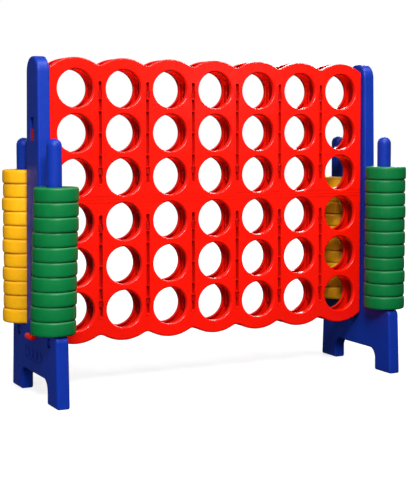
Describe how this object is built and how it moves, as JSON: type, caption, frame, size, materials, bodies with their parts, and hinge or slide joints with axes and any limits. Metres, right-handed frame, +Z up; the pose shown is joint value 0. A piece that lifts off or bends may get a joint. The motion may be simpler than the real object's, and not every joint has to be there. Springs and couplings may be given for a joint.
{
  "type": "giant four in a row",
  "caption": "Free-standing upright grid board on two feet, with ring playing pieces stacked on side pegs and a slide under the columns that releases them.",
  "frame": {"origin": "on the ground, in the middle of the set", "axes": "+X along the columns to the right as seen by the player in front, +Y from front to back, +Z up"},
  "size_m": [1.291, 0.4196, 1.0235],
  "materials": {
    "red_plastic": "semi-gloss moulded",
    "blue_plastic": "semi-gloss moulded",
    "green_plastic": "semi-gloss moulded",
    "yellow_plastic": "semi-gloss moulded"
  },
  "bodies": {
    "frame": {"board_upper_front": "red_plastic", "board_upper_back": "red_plastic", "board_lower_front": "red_plastic", "board_lower_back": "red_plastic", "upper_dividers": "red_plastic", "lower_dividers": "red_plastic", "upper_end_wall_left": "red_plastic", "upper_end_wall_right": "red_plastic", "lower_end_wall_left": "red_plastic", "lower_end_wall_right": "red_plastic", "left_leg": "blue_plastic", "right_leg": "blue_plastic", "left_front_peg": "blue_plastic", "left_back_peg": "blue_plastic", "right_front_peg": "blue_plastic", "right_back_peg": "blue_plastic"},
    "release": {"release_bar": "red_plastic", "release_knob": "red_plastic"},
    "green_ring_left_01": {"green_ring_left_01": "green_plastic"},
    "green_ring_left_02": {"green_ring_left_02": "green_plastic"},
    "green_ring_left_03": {"green_ring_left_03": "green_plastic"},
    "green_ring_left_04": {"green_ring_left_04": "green_plastic"},
    "green_ring_left_05": {"green_ring_left_05": "green_plastic"},
    "green_ring_left_06": {"green_ring_left_06": "green_plastic"},
    "green_ring_left_07": {"green_ring_left_07": "green_plastic"},
    "green_ring_left_08": {"green_ring_left_08": "green_plastic"},
    "green_ring_left_09": {"green_ring_left_09": "green_plastic"},
    "green_ring_left_10": {"green_ring_left_10": "green_plastic"},
    "yellow_ring_left_01": {"yellow_ring_left_01": "yellow_plastic"},
    "yellow_ring_left_02": {"yellow_ring_left_02": "yellow_plastic"},
    "yellow_ring_left_03": {"yellow_ring_left_03": "yellow_plastic"},
    "yellow_ring_left_04": {"yellow_ring_left_04": "yellow_plastic"},
    "yellow_ring_left_05": {"yellow_ring_left_05": "yellow_plastic"},
    "yellow_ring_left_06": {"yellow_ring_left_06": "yellow_plastic"},
    "yellow_ring_left_07": {"yellow_ring_left_07": "yellow_plastic"},
    "yellow_ring_left_08": {"yellow_ring_left_08": "yellow_plastic"},
    "yellow_ring_left_09": {"yellow_ring_left_09": "yellow_plastic"},
    "yellow_ring_left_10": {"yellow_ring_left_10": "yellow_plastic"},
    "yellow_ring_left_11": {"yellow_ring_left_11": "yellow_plastic"},
    "green_ring_right_01": {"green_ring_right_01": "green_plastic"},
    "green_ring_right_02": {"green_ring_right_02": "green_plastic"},
    "green_ring_right_03": {"green_ring_right_03": "green_plastic"},
    "green_ring_right_04": {"green_ring_right_04": "green_plastic"},
    "green_ring_right_05": {"green_ring_right_05": "green_plastic"},
    "green_ring_right_06": {"green_ring_right_06": "green_plastic"},
    "green_ring_right_07": {"green_ring_right_07": "green_plastic"},
    "green_ring_right_08": {"green_ring_right_08": "green_plastic"},
    "green_ring_right_09": {"green_ring_right_09": "green_plastic"},
    "green_ring_right_10": {"green_ring_right_10": "green_plastic"},
    "green_ring_right_11": {"green_ring_right_11": "green_plastic"},
    "yellow_ring_right_01": {"yellow_ring_right_01": "yellow_plastic"},
    "yellow_ring_right_02": {"yellow_ring_right_02": "yellow_plastic"},
    "yellow_ring_right_03": {"yellow_ring_right_03": "yellow_plastic"},
    "yellow_ring_right_04": {"yellow_ring_right_04": "yellow_plastic"},
    "yellow_ring_right_05": {"yellow_ring_right_05": "yellow_plastic"},
    "yellow_ring_right_06": {"yellow_ring_right_06": "yellow_plastic"},
    "yellow_ring_right_07": {"yellow_ring_right_07": "yellow_plastic"},
    "yellow_ring_right_08": {"yellow_ring_right_08": "yellow_plastic"},
    "yellow_ring_right_09": {"yellow_ring_right_09": "yellow_plastic"},
    "yellow_ring_right_10": {"yellow_ring_right_10": "yellow_plastic"}
  },
  "joints": [
    {"name": "release_slide", "type": "slide", "parent": "frame", "child": "release", "axis": [-1, 0, 0], "range_m": [0, 0.0785]},
    {"name": "green_ring_left_01_lift", "type": "slide", "parent": "frame", "child": "green_ring_left_01", "axis": [0, 0, 1], "range_m": [0, 0.5796]},
    {"name": "green_ring_left_02_lift", "type": "slide", "parent": "green_ring_left_01", "child": "green_ring_left_02", "axis": [0, 0, 1], "range_m": [0, 0.5367]},
    {"name": "green_ring_left_03_lift", "type": "slide", "parent": "green_ring_left_02", "child": "green_ring_left_03", "axis": [0, 0, 1], "range_m": [0, 0.4938]},
    {"name": "green_ring_left_04_lift", "type": "slide", "parent": "green_ring_left_03", "child": "green_ring_left_04", "axis": [0, 0, 1], "range_m": [0, 0.4509]},
    {"name": "green_ring_left_05_lift", "type": "slide", "parent": "green_ring_left_04", "child": "green_ring_left_05", "axis": [0, 0, 1], "range_m": [0, 0.408]},
    {"name": "green_ring_left_06_lift", "type": "slide", "parent": "green_ring_left_05", "child": "green_ring_left_06", "axis": [0, 0, 1], "range_m": [0, 0.3651]},
    {"name": "green_ring_left_07_lift", "type": "slide", "parent": "green_ring_left_06", "child": "green_ring_left_07", "axis": [0, 0, 1], "range_m": [0, 0.3222]},
    {"name": "green_ring_left_08_lift", "type": "slide", "parent": "green_ring_left_07", "child": "green_ring_left_08", "axis": [0, 0, 1], "range_m": [0, 0.2793]},
    {"name": "green_ring_left_09_lift", "type": "slide", "parent": "green_ring_left_08", "child": "green_ring_left_09", "axis": [0, 0, 1], "range_m": [0, 0.2364]},
    {"name": "green_ring_left_10_lift", "type": "slide", "parent": "green_ring_left_09", "child": "green_ring_left_10", "axis": [0, 0, 1], "range_m": [0, 0.1935]},
    {"name": "yellow_ring_left_01_lift", "type": "slide", "parent": "frame", "child": "yellow_ring_left_01", "axis": [0, 0, 1], "range_m": [0, 0.5796]},
    {"name": "yellow_ring_left_02_lift", "type": "slide", "parent": "yellow_ring_left_01", "child": "yellow_ring_left_02", "axis": [0, 0, 1], "range_m": [0, 0.5367]},
    {"name": "yellow_ring_left_03_lift", "type": "slide", "parent": "yellow_ring_left_02", "child": "yellow_ring_left_03", "axis": [0, 0, 1], "range_m": [0, 0.4938]},
    {"name": "yellow_ring_left_04_lift", "type": "slide", "parent": "yellow_ring_left_03", "child": "yellow_ring_left_04", "axis": [0, 0, 1], "range_m": [0, 0.4509]},
    {"name": "yellow_ring_left_05_lift", "type": "slide", "parent": "yellow_ring_left_04", "child": "yellow_ring_left_05", "axis": [0, 0, 1], "range_m": [0, 0.408]},
    {"name": "yellow_ring_left_06_lift", "type": "slide", "parent": "yellow_ring_left_05", "child": "yellow_ring_left_06", "axis": [0, 0, 1], "range_m": [0, 0.3651]},
    {"name": "yellow_ring_left_07_lift", "type": "slide", "parent": "yellow_ring_left_06", "child": "yellow_ring_left_07", "axis": [0, 0, 1], "range_m": [0, 0.3222]},
    {"name": "yellow_ring_left_08_lift", "type": "slide", "parent": "yellow_ring_left_07", "child": "yellow_ring_left_08", "axis": [0, 0, 1], "range_m": [0, 0.2793]},
    {"name": "yellow_ring_left_09_lift", "type": "slide", "parent": "yellow_ring_left_08", "child": "yellow_ring_left_09", "axis": [0, 0, 1], "range_m": [0, 0.2364]},
    {"name": "yellow_ring_left_10_lift", "type": "slide", "parent": "yellow_ring_left_09", "child": "yellow_ring_left_10", "axis": [0, 0, 1], "range_m": [0, 0.1935]},
    {"name": "yellow_ring_left_11_lift", "type": "slide", "parent": "yellow_ring_left_10", "child": "yellow_ring_left_11", "axis": [0, 0, 1], "range_m": [0, 0.1506]},
    {"name": "green_ring_right_01_lift", "type": "slide", "parent": "frame", "child": "green_ring_right_01", "axis": [0, 0, 1], "range_m": [0, 0.5796]},
    {"name": "green_ring_right_02_lift", "type": "slide", "parent": "green_ring_right_01", "child": "green_ring_right_02", "axis": [0, 0, 1], "range_m": [0, 0.5367]},
    {"name": "green_ring_right_03_lift", "type": "slide", "parent": "green_ring_right_02", "child": "green_ring_right_03", "axis": [0, 0, 1], "range_m": [0, 0.4938]},
    {"name": "green_ring_right_04_lift", "type": "slide", "parent": "green_ring_right_03", "child": "green_ring_right_04", "axis": [0, 0, 1], "range_m": [0, 0.4509]},
    {"name": "green_ring_right_05_lift", "type": "slide", "parent": "green_ring_right_04", "child": "green_ring_right_05", "axis": [0, 0, 1], "range_m": [0, 0.408]},
    {"name": "green_ring_right_06_lift", "type": "slide", "parent": "green_ring_right_05", "child": "green_ring_right_06", "axis": [0, 0, 1], "range_m": [0, 0.3651]},
    {"name": "green_ring_right_07_lift", "type": "slide", "parent": "green_ring_right_06", "child": "green_ring_right_07", "axis": [0, 0, 1], "range_m": [0, 0.3222]},
    {"name": "green_ring_right_08_lift", "type": "slide", "parent": "green_ring_right_07", "child": "green_ring_right_08", "axis": [0, 0, 1], "range_m": [0, 0.2793]},
    {"name": "green_ring_right_09_lift", "type": "slide", "parent": "green_ring_right_08", "child": "green_ring_right_09", "axis": [0, 0, 1], "range_m": [0, 0.2364]},
    {"name": "green_ring_right_10_lift", "type": "slide", "parent": "green_ring_right_09", "child": "green_ring_right_10", "axis": [0, 0, 1], "range_m": [0, 0.1935]},
    {"name": "green_ring_right_11_lift", "type": "slide", "parent": "green_ring_right_10", "child": "green_ring_right_11", "axis": [0, 0, 1], "range_m": [0, 0.1506]},
    {"name": "yellow_ring_right_01_lift", "type": "slide", "parent": "frame", "child": "yellow_ring_right_01", "axis": [0, 0, 1], "range_m": [0, 0.5796]},
    {"name": "yellow_ring_right_02_lift", "type": "slide", "parent": "yellow_ring_right_01", "child": "yellow_ring_right_02", "axis": [0, 0, 1], "range_m": [0, 0.5367]},
    {"name": "yellow_ring_right_03_lift", "type": "slide", "parent": "yellow_ring_right_02", "child": "yellow_ring_right_03", "axis": [0, 0, 1], "range_m": [0, 0.4938]},
    {"name": "yellow_ring_right_04_lift", "type": "slide", "parent": "yellow_ring_right_03", "child": "yellow_ring_right_04", "axis": [0, 0, 1], "range_m": [0, 0.4509]},
    {"name": "yellow_ring_right_05_lift", "type": "slide", "parent": "yellow_ring_right_04", "child": "yellow_ring_right_05", "axis": [0, 0, 1], "range_m": [0, 0.408]},
    {"name": "yellow_ring_right_06_lift", "type": "slide", "parent": "yellow_ring_right_05", "child": "yellow_ring_right_06", "axis": [0, 0, 1], "range_m": [0, 0.3651]},
    {"name": "yellow_ring_right_07_lift", "type": "slide", "parent": "yellow_ring_right_06", "child": "yellow_ring_right_07", "axis": [0, 0, 1], "range_m": [0, 0.3222]},
    {"name": "yellow_ring_right_08_lift", "type": "slide", "parent": "yellow_ring_right_07", "child": "yellow_ring_right_08", "axis": [0, 0, 1], "range_m": [0, 0.2793]},
    {"name": "yellow_ring_right_09_lift", "type": "slide", "parent": "yellow_ring_right_08", "child": "yellow_ring_right_09", "axis": [0, 0, 1], "range_m": [0, 0.2364]},
    {"name": "yellow_ring_right_10_lift", "type": "slide", "parent": "yellow_ring_right_09", "child": "yellow_ring_right_10", "axis": [0, 0, 1], "range_m": [0, 0.1935]}
  ]
}
